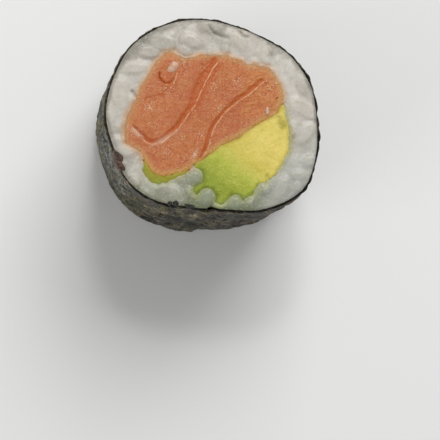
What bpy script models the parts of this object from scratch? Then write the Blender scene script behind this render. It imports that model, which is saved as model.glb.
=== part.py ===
"""A salmon and avocado maki piece, standing on its lower cut end with the filling facing up.

Nodes: nori (the seaweed wrap), rice (a core with the grains that show fused on), salmon,
avocado and avocado_sliver. The fillings run right through the roll. Metres, +Z up, with the
origin at the middle of the underside.
"""

import math
import random

import bmesh
import bpy
from mathutils import Vector, noise
from mathutils.geometry import delaunay_2d_cdt

MM = 0.001

# The roll. A half sheet of nori is 190 mm long, and six pieces are cut from it.
MEAN_RADIUS = 14.65 * MM
NORI_LENGTH = 31.0 * MM
NORI_THICK = 0.4 * MM
RICE_PROUD = 1.0 * MM  # the rice swells this far past each edge of the nori
TOP = NORI_LENGTH + 2 * RICE_PROUD
GAP = 0.3 * MM  # between neighbouring solids
# Outer radius of the pressed roll every 20 degrees, anticlockwise from +X, against the mean.
ROLL_SHAPE = (
    1.030, 0.997, 0.956, 0.900, 0.888, 0.950, 0.997, 1.017, 1.024,
    1.024, 1.017, 1.030, 0.990, 0.935, 0.976, 1.078, 1.147, 1.085,
)
ROUNDER_BELOW = 0.45  # how much of that unevenness is gone at the lower end

# The sheet of nori starts at one angle, goes once round and laps over its own start.
LAP_START = math.radians(212)
LAP_END = math.radians(268)
LAP_RAMP = math.radians(55)
LAP_STEP = math.radians(1.2)  # how wide the step at either end of the sheet is
LAP_SMOOTHING = math.radians(2.5)
TUCK_DEPTH = 0.8 * MM  # the folded inner end of the sheet pushes into the rice
TUCK_HALF_WIDTH = math.radians(4.5)
WRINKLE = 0.42 * MM  # grains under the sheet and slack in it push it in and out
WRINKLE_SPACING = 6.0 * MM
EDGE_SWAY = 0.35 * MM
NORI_SIDES = 72
NORI_LEVELS = 9

# How the fillings change on their way down.
FILLING_TWIST = math.radians(-9)
FILLING_TAPER = 0.95
FILLING_HEIGHTS = 6

# Outlines of the fillings at the upper end, in millimetres, anticlockwise.
SALMON_OUTLINE = (
    (9.1, 0.5), (9.9, 2.2), (9.7, 3.8), (8.6, 5.7), (7.4, 6.7), (5.4, 6.9), (3.9, 7.7),
    (1.6, 8.1), (-1.8, 8.2), (-4.2, 7.7), (-5.2, 8.5), (-6.5, 8.5), (-7.8, 7.1), (-9.8, 4.1),
    (-10.6, 2.2), (-11.7, 0.0), (-12.1, -3.0), (-11.8, -4.5), (-10.5, -5.0), (-9.3, -6.3),
    (-8.4, -7.8), (-6.8, -8.5), (-3.6, -7.7), (-1.0, -6.0), (1.3, -4.3), (3.7, -3.2),
    (5.5, -1.7), (7.5, -0.6),
)
AVOCADO_OUTLINE = (
    (9.8, 1.4), (8.4, 1.0), (6.0, -0.5), (3.6, -2.2), (1.0, -3.6), (-1.2, -5.0), (-2.2, -6.7),
    (-1.7, -8.2), (-1.3, -9.3), (-2.6, -10.3), (-2.2, -11.1), (-0.2, -11.2), (0.7, -12.3),
    (1.8, -12.3), (2.7, -11.5), (4.9, -11.6), (6.4, -9.8), (8.2, -8.6), (9.9, -6.4), (10.6, -4.4),
    (10.6, -2.0), (10.2, 0.0),
)
SLIVER_OUTLINE = (
    (-3.4, -7.4), (-5.4, -7.6), (-7.0, -8.0), (-8.6, -6.8), (-9.6, -6.9), (-9.5, -8.3),
    (-8.8, -9.5), (-7.4, -9.8), (-5.8, -9.4), (-4.3, -8.7), (-3.2, -8.1),
)
OUTLINE_STEP = 1.1 * MM
RELIEF_STEP = 1.7 * MM

# The pale seams between the salmon's flakes stand in shallow troughs, in millimetres.
SALMON_SEAMS = (
    ((1.3, 7.1), (-0.6, 4.0), (-2.4, 0.2), (-4.6, -2.8), (-7.4, -4.5), (-10.6, -3.4)),
    ((7.4, 5.3), (4.0, 2.7), (1.6, 0.5), (0.0, -2.6), (-0.4, -4.6)),
    ((-4.9, 6.2), (-5.3, 4.6), (-6.5, 3.0), (-8.6, 2.2), (-9.7, 1.2)),
)
SEAM_STEP = 1.4 * MM
SEAM_HALF_WIDTH = 0.45 * MM
SEAM_DEPTH = 0.35 * MM

# Cut flesh swells towards its middle, and shrinks back below the rice.
SWELL = 0.25 * MM
SWELL_RADIUS = 12 * MM
SALMON_BELOW_RICE = 0.25 * MM
AVOCADO_BELOW_RICE = 0.45 * MM

# Cooked short-grain rice.
GRAIN_LENGTH = 5.4 * MM
GRAIN_WIDTH = 2.5 * MM
GRAIN_BLUNTNESS = 0.7  # 1 is an ellipse, and lower is blunter at the ends
GRAINS_AN_END = 58
GRAIN_SPACING = 2.15 * MM
GRAIN_TO_WRAP = 0.9 * MM  # the least distance from a grain's middle to the wrap
GRAIN_TO_FILLING = 0.7 * MM
GRAIN_SIZES = (0.85, 1.08)
GRAIN_TILT = 0.35  # radians, either way
GRAIN_SEGMENTS = 6
GRAIN_RINGS = 4
GRAIN_UNEVEN = 0.35 * MM
GRAIN_OVERHANG = 0.15 * MM  # the knife and the plate take this off the lower grains
CORE_BELOW_GRAINS = 0.7 * MM
CORE_ROUNDING = 0.4 * MM
RICE_SIDES = 60
RICE_LEVELS = 8
DRAWS_AN_END = 6000
SEED = 11

# One broken grain lies on the salmon.
STRAY_SPOT = (-5.7, 6.7)  # in millimetres
STRAY_YAW = math.radians(60)
STRAY_TILT = 0.2
STRAY_SIZE = 0.55
STRAY_SINK = 0.45 * MM

OVERSHOOT = 5 * MM  # cutters reach this far past the roll


def clear_scene():
    for obj in list(bpy.data.objects):
        bpy.data.objects.remove(obj, do_unlink=True)


def material(name, colour, roughness):
    made = bpy.data.materials.new(name)
    made.use_nodes = True
    shader = made.node_tree.nodes["Principled BSDF"]
    shader.inputs["Base Color"].default_value = (*colour, 1)
    shader.inputs["Roughness"].default_value = roughness
    shader.inputs["Metallic"].default_value = 0
    return made


def add_object(name, points, faces, finish=None):
    mesh = bpy.data.meshes.new(name)
    mesh.from_pydata([tuple(p) for p in points], [], faces)
    mesh.validate()
    obj = bpy.data.objects.new(name, mesh)
    bpy.context.scene.collection.objects.link(obj)
    if finish:
        mesh.materials.append(finish)
    return obj


def make_tool(obj):
    """A cutter or an envelope: never a part of its own."""
    obj.hide_render = True
    obj.display_type = "WIRE"
    return obj


def apply_boolean(obj, operation, tool, solver="EXACT"):
    modifier = obj.modifiers.new(operation.lower(), "BOOLEAN")
    modifier.operation = operation
    modifier.solver = solver
    if isinstance(tool, bpy.types.Collection):
        modifier.operand_type = "COLLECTION"
        modifier.collection = tool
    else:
        modifier.object = tool
    graph = bpy.context.evaluated_depsgraph_get()
    done = bpy.data.meshes.new_from_object(obj.evaluated_get(graph))
    obj.modifiers.clear()
    obj.data = done


# ---- curves in the plane ----


def cubic(before, a, b, after, t):
    """Catmull-Rom between a and b, for numbers or vectors."""
    return 0.5 * (
        2 * a
        + (b - before) * t
        + (2 * before - 5 * a + 4 * b - after) * t * t
        + (3 * a - before - 3 * b + after) * t**3
    )


def smooth_line(points_mm, step, closed):
    """Points about a step apart on a smooth curve through the given ones."""
    knots = [Vector(p) * MM for p in points_mm]
    count = len(knots)
    fine = []
    for i in range(count if closed else count - 1):
        if closed:
            ends = [knots[(i + k) % count] for k in (-1, 0, 1, 2)]
        else:
            ends = [knots[min(max(i + k, 0), count - 1)] for k in (-1, 0, 1, 2)]
        fine += [cubic(*ends, k / 12) for k in range(12)]
    fine.append(knots[0] if closed else knots[-1])
    lengths = [(b - a).length for a, b in zip(fine, fine[1:])]
    total = sum(lengths)
    pieces = max(3, round(total / step))
    line, walked, i = [], 0.0, 0
    for k in range(pieces if closed else pieces + 1):
        goal = min(total * k / pieces, total * (1 - 1e-9))
        while walked + lengths[i] < goal:
            walked += lengths[i]
            i += 1
        line.append(fine[i].lerp(fine[i + 1], (goal - walked) / lengths[i]))
    return line


def grown(outline, distance):
    """A closed anticlockwise outline moved outwards."""
    count = len(outline)
    moved = []
    for i, point in enumerate(outline):
        along = (outline[(i + 1) % count] - outline[i - 1]).normalized()
        moved.append(point + Vector((along.y, -along.x)) * distance)
    return moved


def inside(point, outline):
    """Whether a point is within a closed outline."""
    found = False
    for a, b in zip(outline, outline[1:] + outline[:1]):
        if (a.y > point.y) != (b.y > point.y):
            if point.x < a.x + (point.y - a.y) / (b.y - a.y) * (b.x - a.x):
                found = not found
    return found


def clearance(point, outline):
    """Distance from a point to the nearest stretch of a closed outline."""
    nearest = math.inf
    for a, b in zip(outline, outline[1:] + outline[:1]):
        side = b - a
        t = max(0.0, min(1.0, (point - a).dot(side) / side.length_squared))
        nearest = min(nearest, (point - a - side * t).length)
    return nearest


# ---- the roll's own round form ----


def angle_past(angle, start):
    return (angle - start) % math.tau


def roll_radius(angle, height):
    """Outer radius of the wrap without its lap and wrinkles."""
    place = (angle % math.tau) / math.tau * len(ROLL_SHAPE)
    i = int(place)
    ends = [ROLL_SHAPE[(i + k) % len(ROLL_SHAPE)] for k in (-1, 0, 1, 2)]
    share = cubic(*ends, place - i)
    evened = ROUNDER_BELOW * (1 - height / TOP)
    return MEAN_RADIUS * (share + (1 - share) * evened)


def wrinkle(angle, height):
    around_roll = MEAN_RADIUS / WRINKLE_SPACING
    place = (math.cos(angle) * around_roll, math.sin(angle) * around_roll, height / WRINKLE_SPACING)
    return noise.noise(Vector(place)) * WRINKLE


def nori_outer(angle, height):
    """The lap's free edge is a step down, which the sheet makes up again as it winds on."""
    past = angle_past(angle, LAP_END)
    drop = NORI_THICK * max(0.0, 1 - past / LAP_RAMP) if past < LAP_RAMP else 0.0
    return roll_radius(angle, height) + wrinkle(angle, height) - drop


def nori_inner(angle, height):
    layers = 2 if angle_past(angle, LAP_START) < LAP_END - LAP_START else 1
    off_centre = (angle - LAP_START) / TUCK_HALF_WIDTH
    tuck = TUCK_DEPTH * math.exp(-off_centre * off_centre)
    return nori_outer(angle, height) - layers * NORI_THICK - tuck


def rice_radius(angle, height):
    """The rice fills the wrap, less the gap. Its edge is smoothed over the lap's steps."""
    near = [angle + k * LAP_SMOOTHING for k in (-1, -0.5, 0, 0.5, 1)]
    return min(nori_inner(a, height) for a in near) - GAP


def around(radius_of, height, angles):
    return [
        Vector((math.cos(a), math.sin(a))) * radius_of(a, height) for a in angles
    ]


def even_angles(count):
    return [math.tau * k / count for k in range(count)]


# ---- solids ----


def warp(point, height):
    """The fillings turn and narrow a little towards the lower end."""
    down = 1 - height / TOP
    turn = FILLING_TWIST * down
    scale = 1 + (FILLING_TAPER - 1) * down
    x = point.x * math.cos(turn) - point.y * math.sin(turn)
    y = point.x * math.sin(turn) + point.y * math.cos(turn)
    return Vector((x, y)) * scale


def grid_inside(outline, step, keep_off):
    """Points on a staggered grid within an outline, clear of its edge and of other lines."""
    low_x, high_x = min(p.x for p in outline), max(p.x for p in outline)
    low_y, high_y = min(p.y for p in outline), max(p.y for p in outline)
    found = []
    row = 0
    y = low_y
    while y < high_y:
        x = low_x + (row % 2) * step / 2
        while x < high_x:
            point = Vector((x, y))
            if inside(point, outline) and clearance(point, outline) > step * 0.55:
                if all((point - q).length > step * 0.5 for q in keep_off):
                    found.append(point)
            x += step
        y += step * 0.87
        row += 1
    return found


def seam_lines(seams, outline):
    """Each seam is three lines: the bottom of its trough and the two brims."""
    lines = []
    for seam in seams:
        centre = smooth_line(seam, SEAM_STEP, closed=False)
        for side in (0, -1, 1):
            line = []
            for i, point in enumerate(centre):
                ahead = centre[min(i + 1, len(centre) - 1)]
                behind = centre[max(i - 1, 0)]
                along = (ahead - behind).normalized()
                tapered = 1 if 0 < i < len(centre) - 1 else 0.5
                offset = Vector((along.y, -along.x)) * SEAM_HALF_WIDTH * side * tapered
                line.append((point + offset, -SEAM_DEPTH if side == 0 else 0.0))
            line = [p for p in line if inside(p[0], outline)]
            line = [p for p in line if clearance(p[0], outline) > 0.5 * MM]
            lines.append(line)
    return lines


def filling_solid(name, outline, finish, relief, seams=(), low=0.0, high=TOP):
    """A piece of filling with relief on both cut ends. The lower end is pressed flat."""
    lines = seam_lines(seams, outline)
    marked = [p for line in lines for p, _ in line]
    depth_at = {tuple(p): d for line in lines for p, d in line}
    inner = grid_inside(outline, RELIEF_STEP, marked)
    flat = outline + marked + inner
    edges = [(i, (i + 1) % len(outline)) for i in range(len(outline))]
    start = len(outline)
    for line in lines:
        edges += [(start + i, start + i + 1) for i in range(len(line) - 1)]
        start += len(line)
    plane, _, cells, _, _, _ = delaunay_2d_cdt(flat, edges, [], 1, 1e-7)
    rim = len(outline)
    cells = [list(c) for c in cells]

    def depth(i):
        point = plane[i]
        near = min(depth_at, key=lambda p: (Vector(p) - point).length, default=None)
        if near and (Vector(near) - point).length < 1e-6:
            return depth_at[near]
        return 0.0

    depths = [depth(i) for i in range(len(plane))]
    points, faces = [], []
    # Upper end, lower end, then the walls between.
    for i, p in enumerate(plane):
        lift = relief(p) if i >= rim else 0.0
        points.append((*warp(p, high), high + lift + depths[i]))
    base = len(points)
    for i, p in enumerate(plane):
        points.append((*warp(p, low), low - depths[i]))
    faces += cells
    faces += [[base + i for i in reversed(c)] for c in cells]
    levels = [
        low + (high - low) * k / FILLING_HEIGHTS for k in range(FILLING_HEIGHTS + 1)
    ]
    rings = [[base + i for i in range(rim)]]
    for level in levels[1:-1]:
        rings.append(list(range(len(points), len(points) + rim)))
        points += [(*warp(p, level), level) for p in plane[:rim]]
    rings.append(list(range(rim)))
    for under, over in zip(rings, rings[1:]):
        for i in range(rim):
            j = (i + 1) % rim
            faces.append([under[i], under[j], over[j], over[i]])
    return add_object(name, points, faces, finish)


def filling_cutter(name, outline):
    """A filling grown by the gap and made longer than the roll, to cut its neighbours."""
    wide = grown(outline, GAP)
    levels = [TOP * k / FILLING_HEIGHTS for k in range(FILLING_HEIGHTS + 1)]
    levels = [-OVERSHOOT, *levels, TOP + OVERSHOOT]
    points, faces = [], []
    for level in levels:
        points += [(*warp(p, level), level) for p in wide]
    count = len(wide)
    for k in range(len(levels) - 1):
        for i in range(count):
            j = (i + 1) % count
            a, b = k * count, (k + 1) * count
            faces.append([a + i, a + j, b + j, b + i])
    faces.append(list(reversed(range(count))))
    faces.append([(len(levels) - 1) * count + i for i in range(count)])
    return make_tool(add_object(name, points, faces))


def swell(point):
    return SWELL * max(0.0, 1 - (point.length / SWELL_RADIUS) ** 2)


def level_cut(_point):
    return 0.0


def build_nori(finish):
    """The wrap: one sheet as a tube with a lap, thin wrinkled walls and uneven edges."""
    angles = even_angles(NORI_SIDES)
    angles += [LAP_END - LAP_STEP / 2, LAP_END + LAP_STEP / 2, LAP_START - LAP_STEP, LAP_START]
    angles.sort()
    levels = NORI_LEVELS
    low, high = RICE_PROUD, RICE_PROUD + NORI_LENGTH
    points, faces = [], []

    def edge_sway(angle, at_top):
        place = Vector((math.cos(angle) * 2, math.sin(angle) * 2, 5.0 if at_top else 9.0))
        return noise.noise(place) * EDGE_SWAY

    def level_height(k, angle):
        height = low + (high - low) * k / levels
        if k == 0:
            return height + abs(edge_sway(angle, False))
        return height + (edge_sway(angle, True) if k == levels else 0.0)

    for radius_of in (nori_outer, nori_inner):
        for k in range(levels + 1):
            for a in angles:
                height = low + (high - low) * k / levels
                ring = Vector((math.cos(a), math.sin(a))) * radius_of(a, height)
                points.append((ring.x, ring.y, level_height(k, a)))
    count = len(angles)
    wall = (levels + 1) * count
    for i in range(count):
        j = (i + 1) % count
        for k in range(levels):
            a, b = k * count, (k + 1) * count
            faces.append([a + i, a + j, b + j, b + i])
            faces.append([wall + b + i, wall + b + j, wall + a + j, wall + a + i])
        top = levels * count
        faces.append([top + i, top + j, wall + top + j, wall + top + i])
        faces.append([wall + i, wall + j, j, i])
    return add_object("nori", points, faces, finish)


def rice_body(name, low, high, rounding=0.0, finish=None):
    """A plain plug of rice between two heights, as wide as the wrap leaves room for."""
    angles = even_angles(RICE_SIDES)
    heights = [low + (high - low) * k / RICE_LEVELS for k in range(RICE_LEVELS + 1)]
    if rounding:
        heights[1:1] = [low + rounding]
        heights[-1:-1] = [high - rounding]
    levels = len(heights) - 1
    points, faces = [], []
    for k, height in enumerate(heights):
        within = min(max(height, RICE_PROUD), TOP - RICE_PROUD)
        ring = around(rice_radius, within, angles)
        drawn_in = rounding if k in (0, levels) else 0.0
        points += [(*(p * (1 - drawn_in / p.length)), height) for p in ring]
    count = len(angles)
    for k in range(levels):
        for i in range(count):
            j = (i + 1) % count
            a, b = k * count, (k + 1) * count
            faces.append([a + i, a + j, b + j, b + i])
    faces.append(list(reversed(range(count))))
    faces.append([levels * count + i for i in range(count)])
    return add_object(name, points, faces, finish)


def grain(name, place, yaw, tilt, size):
    """One grain, blunt at both ends, with few sides."""
    points, faces = [], []
    count = GRAIN_SEGMENTS
    half = GRAIN_LENGTH / 2 * size
    points.append(Vector((-half, 0, 0)))
    for k in range(1, GRAIN_RINGS):
        t = math.pi * k / GRAIN_RINGS
        radius = GRAIN_WIDTH / 2 * size * math.sin(t) ** GRAIN_BLUNTNESS
        for i in range(count):
            a = math.tau * i / count
            points.append(
                Vector((-half * math.cos(t), radius * math.cos(a), radius * math.sin(a)))
            )
    points.append(Vector((half, 0, 0)))
    last = len(points) - 1
    for i in range(count):
        j = (i + 1) % count
        faces.append([0, 1 + j, 1 + i])
        for k in range(GRAIN_RINGS - 2):
            a, b = 1 + k * count, 1 + (k + 1) * count
            faces.append([a + i, a + j, b + j, b + i])
        faces.append([last - count + i, last - count + j, last])
    obj = add_object(name, points, faces)
    obj.location = place
    obj.rotation_euler = (0, tilt, yaw)
    return obj


def scatter_grains(fillings, collection):
    """Grains spread evenly over the rice that shows at both ends."""
    rng = random.Random(SEED)
    for end in ("upper", "lower"):
        height = TOP if end == "upper" else 0.0
        level = min(max(height, RICE_PROUD), TOP - RICE_PROUD)
        edge = around(rice_radius, level, even_angles(RICE_SIDES))
        holes = [[warp(p, height) for p in outline] for outline in fillings]
        taken = []
        tries = 0
        while len(taken) < GRAINS_AN_END and tries < DRAWS_AN_END:
            tries += 1
            spread = MEAN_RADIUS * max(ROLL_SHAPE)
            spot = Vector((rng.uniform(-spread, spread), rng.uniform(-spread, spread)))
            if not inside(spot, edge) or clearance(spot, edge) < GRAIN_TO_WRAP:
                continue
            if any(inside(spot, h) or clearance(spot, h) < GRAIN_TO_FILLING for h in holes):
                continue
            if any((spot - q).length < GRAIN_SPACING for q in taken):
                continue
            taken.append(spot)
            size = rng.uniform(*GRAIN_SIZES)
            yaw = rng.uniform(0, math.tau)
            tilt = rng.uniform(-GRAIN_TILT, GRAIN_TILT)
            across = GRAIN_WIDTH / 2 * size * math.cos(tilt)
            along = GRAIN_LENGTH / 2 * size * math.sin(tilt)
            sink = math.hypot(across, along) + rng.uniform(0, GRAIN_UNEVEN)
            z = TOP - sink if end == "upper" else sink - GRAIN_UNEVEN - GRAIN_OVERHANG
            obj = grain(f"grain_{end}_{len(taken)}", (*spot, z), yaw, tilt, size)
            bpy.context.scene.collection.objects.unlink(obj)
            collection.objects.link(obj)


def build_rice(finish, fillings, cutters):
    rice = rice_body(
        "rice", CORE_BELOW_GRAINS, TOP - CORE_BELOW_GRAINS, CORE_ROUNDING, finish
    )
    grains = bpy.data.collections.new("grains")
    bpy.context.scene.collection.children.link(grains)
    scatter_grains(fillings, grains)
    bpy.context.view_layer.update()
    apply_boolean(rice, "UNION", grains, "MANIFOLD")
    for obj in list(grains.objects):
        bpy.data.objects.remove(obj, do_unlink=True)
    bpy.data.collections.remove(grains)
    envelope = make_tool(rice_body("rice_envelope", 0.0, TOP + OVERSHOOT))
    apply_boolean(rice, "INTERSECT", envelope, "MANIFOLD")
    for cutter in cutters:
        apply_boolean(rice, "DIFFERENCE", cutter, "MANIFOLD")
    return rice


def add_stray_grain(salmon, surface):
    place = (*(Vector(STRAY_SPOT) * MM), surface - STRAY_SINK)
    stray = make_tool(grain("stray_grain", place, STRAY_YAW, STRAY_TILT, STRAY_SIZE))
    bpy.context.view_layer.update()
    apply_boolean(salmon, "UNION", stray)


def centre_on_origin():
    """The middle of the underside of everything goes to the origin."""
    parts = [o for o in bpy.data.objects if o.type == "MESH" and not o.hide_render]
    points = [v.co for o in parts for v in o.data.vertices]
    middle = [(min(p[k] for p in points) + max(p[k] for p in points)) / 2 for k in (0, 1)]
    shift = Vector((-middle[0], -middle[1], -min(p.z for p in points)))
    for obj in parts:
        for vertex in obj.data.vertices:
            vertex.co += shift


def main():
    clear_scene()
    nori_green = material("nori", (0.035, 0.035, 0.028), 0.55)
    rice_white = material("rice", (0.74, 0.70, 0.62), 0.45)
    salmon_orange = material("salmon", (0.62, 0.22, 0.10), 0.35)
    avocado_green = material("avocado", (0.66, 0.60, 0.16), 0.45)
    avocado_skin_side = material("avocado_sliver", (0.30, 0.30, 0.04), 0.45)

    salmon_line = smooth_line(SALMON_OUTLINE, OUTLINE_STEP, closed=True)
    avocado_line = smooth_line(AVOCADO_OUTLINE, OUTLINE_STEP, closed=True)
    sliver_line = smooth_line(SLIVER_OUTLINE, OUTLINE_STEP, closed=True)

    salmon_cutter = filling_cutter("salmon_cutter", salmon_line)
    avocado_cutter = filling_cutter("avocado_cutter", avocado_line)
    sliver_cutter = filling_cutter("sliver_cutter", sliver_line)

    salmon_top = TOP - SALMON_BELOW_RICE
    avocado_top = TOP - AVOCADO_BELOW_RICE
    salmon = filling_solid(
        "salmon", salmon_line, salmon_orange, swell, SALMON_SEAMS, high=salmon_top
    )
    add_stray_grain(salmon, salmon_top)
    avocado = filling_solid("avocado", avocado_line, avocado_green, swell, high=avocado_top)
    sliver = filling_solid(
        "avocado_sliver", sliver_line, avocado_skin_side, level_cut, high=avocado_top
    )
    apply_boolean(avocado, "DIFFERENCE", salmon_cutter)
    apply_boolean(sliver, "DIFFERENCE", salmon_cutter)

    build_rice(
        rice_white,
        [salmon_line, avocado_line, sliver_line],
        [salmon_cutter, avocado_cutter, sliver_cutter],
    )
    build_nori(nori_green)
    centre_on_origin()


main()
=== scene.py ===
import math
import random

import bpy
import numpy as np
from mathutils import Matrix, Vector, noise
from mathutils.bvhtree import BVHTree
from mathutils.geometry import delaunay_2d_cdt
from mathutils.kdtree import KDTree


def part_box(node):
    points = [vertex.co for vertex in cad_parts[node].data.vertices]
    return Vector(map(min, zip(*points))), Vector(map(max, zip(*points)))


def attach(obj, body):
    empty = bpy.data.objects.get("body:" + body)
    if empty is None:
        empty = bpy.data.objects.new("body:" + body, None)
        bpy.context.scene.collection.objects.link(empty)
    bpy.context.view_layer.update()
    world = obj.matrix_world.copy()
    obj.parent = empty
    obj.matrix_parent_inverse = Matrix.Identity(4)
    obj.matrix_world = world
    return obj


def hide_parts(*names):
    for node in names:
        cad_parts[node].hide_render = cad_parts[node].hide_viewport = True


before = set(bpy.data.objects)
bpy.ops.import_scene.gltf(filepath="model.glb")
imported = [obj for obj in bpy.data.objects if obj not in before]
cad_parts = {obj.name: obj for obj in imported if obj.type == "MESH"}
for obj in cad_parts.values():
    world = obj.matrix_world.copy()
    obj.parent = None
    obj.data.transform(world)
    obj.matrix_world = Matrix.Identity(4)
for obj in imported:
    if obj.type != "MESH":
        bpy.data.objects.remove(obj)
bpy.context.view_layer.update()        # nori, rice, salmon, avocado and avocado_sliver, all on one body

mm = 0.001               # shapes are worked out in millimetres and scaled as they become meshes

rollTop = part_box("rice")[1].z / mm          # the upper knife cut
print("frame loaded, the upper cut is at", round(rollTop, 2), "mm")


def evenly(line, count, closed=False):
    # count points an even distance apart along a line
    line = np.asarray(line, float)
    if closed:
        line = np.vstack([line, line[:1]])
    walked = np.concatenate([[0], np.cumsum(np.linalg.norm(np.diff(line, axis=0), axis=1))])
    goals = np.linspace(0, walked[-1], count, endpoint=not closed)
    return np.stack([np.interp(goals, walked, line[:, k]) for k in (0, 1)], axis=1)


def curved(points, closed=False):
    # a smooth curve through the given points, eight steps to a stretch
    points = np.asarray(points, float)
    if closed:
        before, ahead, after = (np.roll(points, -k, 0) for k in (-1, 1, 2))
        here = points
    else:
        padded = np.vstack([points[:1], points, points[-1:]])
        before, here, ahead, after = (padded[k:len(padded) - 3 + k] for k in range(4))
    t = np.linspace(0, 1, 8, endpoint=False)[:, None, None]
    fine = 0.5 * (2 * here + (ahead - before) * t
                  + (2 * before - 5 * here + 4 * ahead - after) * t**2
                  + (3 * here - before - 3 * ahead + after) * t**3)
    fine = fine.transpose(1, 0, 2).reshape(-1, 2)
    return fine if closed else np.vstack([fine, points[-1:]])


def lineLength(line):
    return np.linalg.norm(np.diff(line, axis=0), axis=1).sum()


def cadSection(node, height):
    # the closed outlines where a level plane crosses a CAD solid, longest first
    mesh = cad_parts[node].data
    mesh.calc_loop_triangles()
    points = np.array([v.co for v in mesh.vertices]) / mm
    corners = points[np.array([t.vertices[:] for t in mesh.loop_triangles])]
    above = corners[:, :, 2] > height
    nextTo = {}
    for tri in corners[above.any(1) & ~above.all(1)]:
        ends = []
        for a, b in ((0, 1), (1, 2), (2, 0)):
            low, high = sorted((tuple(tri[a]), tuple(tri[b])), key=lambda p: p[2])
            if low[2] <= height < high[2]:
                t = (height - low[2]) / (high[2] - low[2])
                ends.append(tuple(round(low[k] + t * (high[k] - low[k]), 3) for k in (0, 1)))
        if len(ends) == 2 and ends[0] != ends[1]:
            nextTo.setdefault(ends[0], []).append(ends[1])
            nextTo.setdefault(ends[1], []).append(ends[0])
    loops = []
    while nextTo:
        here = next(iter(nextTo))
        loop = [here]
        while nextTo.get(here):
            ahead = nextTo[here].pop()
            nextTo[ahead].remove(here)
            for spot in (here, ahead):
                if not nextTo.get(spot):
                    nextTo.pop(spot, None)
            loop.append(ahead)
            here = ahead
        loops.append(np.array(loop))
    return sorted(loops, key=lineLength, reverse=True)


def sectionCurve(node, height, count, grow=0.0):
    # the CAD outline at a height as a smooth curve, started at its right-hand side
    loop = cadSection(node, height)[0]
    crowd = 0.3                           # corners closer than this become one
    kept = [loop[0]]
    for p in loop[1:]:
        if np.linalg.norm(p - kept[-1]) > crowd and np.linalg.norm(p - kept[0]) > crowd:
            kept.append(p)
    line = curved(kept, closed=True)
    x, y = line.T
    if (x * np.roll(y, -1) - y * np.roll(x, -1)).sum() < 0:
        line = line[::-1]
    middle = line.mean(0)
    turn = np.arctan2(line[:, 1] - middle[1], line[:, 0] - middle[0])
    line = np.roll(line, -int(np.abs(turn).argmin()), 0)
    line = evenly(line, count, closed=True)
    return grown(line, grow)


def grown(outline, distance):
    # a closed anticlockwise outline moved outwards, by one distance or one for each point
    along = np.roll(outline, -2, 0) - np.roll(outline, 2, 0)
    along /= np.linalg.norm(along, axis=1)[:, None]
    outwards = np.stack([along[:, 1], -along[:, 0]], axis=1)
    return outline + outwards * np.reshape(distance, (-1, 1))


def edgeDistance(points, outline):
    # distance to a closed outline, negative inside it, and the nearest spot on it
    side = np.roll(outline, -1, 0) - outline
    squared = np.maximum((side**2).sum(1), 1e-12)
    rise = np.where(side[:, 1] == 0, 1e-9, side[:, 1])
    distance, closest = np.empty(len(points)), np.empty((len(points), 2))
    batch = 3000                          # points at a time, to spare memory
    for first in range(0, len(points), batch):
        some = points[first:first + batch, None, :]
        offset = some - outline
        t = np.clip((offset * side).sum(2) / squared, 0, 1)
        gap = offset - t[..., None] * side
        reach = (gap**2).sum(2)
        best = reach.argmin(1)
        rows = np.arange(len(best))
        crossed = (outline[:, 1] > some[..., 1]) != (outline[:, 1] + side[:, 1] > some[..., 1])
        passes = outline[:, 0] + (some[..., 1] - outline[:, 1]) / rise * side[:, 0]
        inside = (crossed & (some[..., 0] < passes)).sum(1) % 2 == 1
        away = np.sqrt(reach[rows, best])
        distance[first:first + batch] = np.where(inside, -away, away)
        closest[first:first + batch] = some[:, 0] - gap[rows, best]
    return distance, closest


def besideCurve(points, curve):
    # distance to an open curve, positive on its right as it runs, and the share run along it
    side = np.diff(curve, axis=0)
    squared = (side**2).sum(1)
    walked = np.concatenate([[0], np.cumsum(np.sqrt(squared))])
    offset = points[:, None, :] - curve[:-1]
    t = np.clip((offset * side).sum(2) / squared, 0, 1)
    gap = offset - t[..., None] * side
    best = (gap**2).sum(2).argmin(1)
    rows = np.arange(len(best))
    gap, t, side = gap[rows, best], t[rows, best], side[best]
    right = side[:, 1] * gap[:, 0] - side[:, 0] * gap[:, 1]
    distance = np.sqrt((gap**2).sum(1)) * np.where(right > 0, 1, -1)
    share = (walked[best] + t * np.sqrt(squared[best])) / walked[-1]
    return distance, share


def roughness(points, size, seed=0.0):
    # smooth noise from -1 to 1 at points of two or three coordinates
    points = np.asarray(points, float) / size
    if points.shape[1] == 2:
        points = np.column_stack([points, np.zeros(len(points))])
    shift = Vector((seed, seed * 1.7, seed * 0.6))
    return np.array([noise.noise(Vector(p) + shift) for p in points])


swell = {"height": 0.25, "reach": 12.0}   # the fillings bulge out of the cut, most at the middle


def swelling(flat):
    return swell["height"] * np.clip(1 - (flat**2).sum(1) / swell["reach"]**2, 0, 1)


def rounded(edge, piece):
    # how far a cut face drops towards its edge
    return piece["edgeDrop"] * (1 - np.sqrt(np.clip(edge / piece["edgeRound"], 0, 1)))


def bell(x, width):
    return np.exp(-(x / width) ** 2)


def spot(flat, x, y, size):
    # 1 at a place on the cut, fading out over its size
    return bell(np.linalg.norm(flat - (x, y), axis=1), size)


def step(x, low, high):
    # 0 below low and 1 above high, with a smooth rise between
    t = np.clip((x - low) / (high - low + 1e-9), 0, 1)
    return t * t * (3 - 2 * t)


def addObject(name, data):
    obj = bpy.data.objects.new(name, data)
    bpy.context.scene.collection.objects.link(obj)
    return obj


def addPiece(name, points, faces, finish, cadNode):
    mesh = bpy.data.meshes.new(name)
    mesh.from_pydata((np.asarray(points) * mm).tolist(), [], faces)
    mesh.validate()
    mesh.shade_smooth()
    mesh.set_sharp_from_angle(angle=math.radians(55))
    piece = addObject(name, mesh)
    mesh.materials.append(finish.material)
    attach(piece, "root")
    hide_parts(cadNode)
    return piece


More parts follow.
